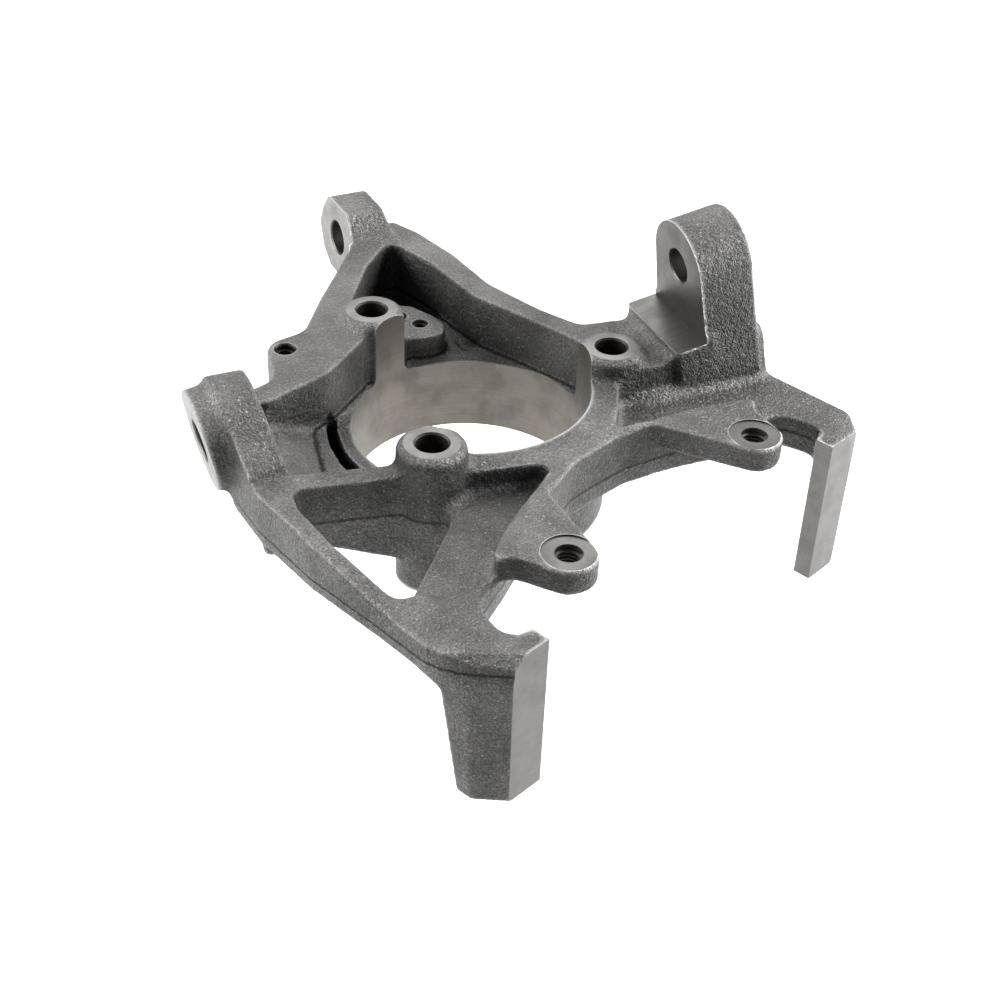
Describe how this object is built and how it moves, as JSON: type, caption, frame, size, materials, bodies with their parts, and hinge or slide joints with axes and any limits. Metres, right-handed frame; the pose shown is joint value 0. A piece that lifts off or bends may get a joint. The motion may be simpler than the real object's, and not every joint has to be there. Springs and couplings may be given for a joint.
{
  "type": "steering knuckle",
  "caption": "Cast steering knuckle with a hub bore and bolt bosses, kingpin lugs, a tie rod lug, brake caliper rails and threaded ears.",
  "frame": {"origin": "centre of the hub bore on the flat face that the hub unit bolts to", "axes": "+Z along the bore axis, away from the wheel; +X through the first hub bolt boss, towards the upper kingpin lug; the caliper lies between +X and -Y"},
  "size_m": [0.263, 0.3129, 0.1359],
  "materials": {
    "casting": "as cast with machined faces"
  },
  "bodies": {
    "root": {"knuckle_casting": "casting"}
  },
  "joints": []
}
